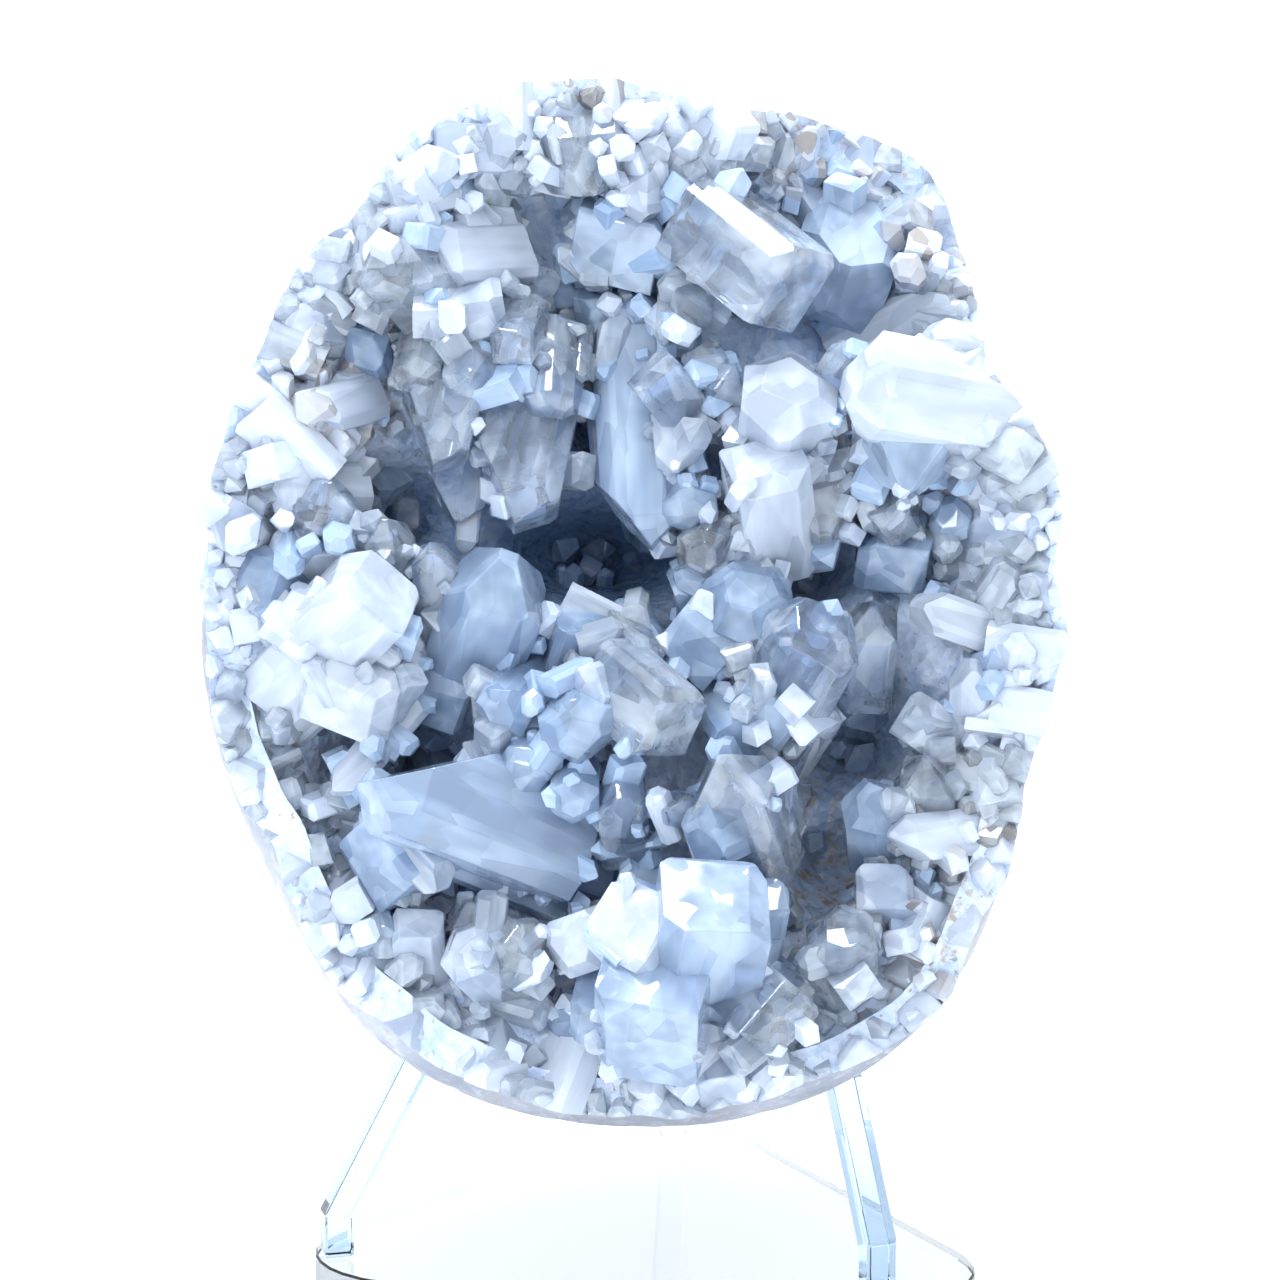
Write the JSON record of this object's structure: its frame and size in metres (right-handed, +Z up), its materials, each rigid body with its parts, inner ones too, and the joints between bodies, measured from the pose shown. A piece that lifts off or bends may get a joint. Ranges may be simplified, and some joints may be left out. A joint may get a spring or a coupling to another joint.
{
  "type": "celestite geode",
  "caption": "Oval celestite geode with a ground outside, open at the front on a crust of pale blue crystals, leaning back on a clear stand of bent square bars.",
  "frame": {"origin": "on the underside of the stand's foot plate, below the middle of the geode", "axes": "+Z up, the open side of the geode faces -Y, +X to its right as seen from the front"},
  "size_m": [0.0863, 0.0786, 0.1258],
  "materials": {
    "ground_rind": "ground, satin",
    "celestite": "clear to milky crystal, glassy",
    "clear_acrylic": "clear, polished"
  },
  "bodies": {
    "root": {"geode_rind": "ground_rind", "celestite_crystals": "celestite", "stand_base": "clear_acrylic", "stand_arm_left": "clear_acrylic", "stand_arm_right": "clear_acrylic", "stand_arm_back": "clear_acrylic"}
  },
  "joints": []
}
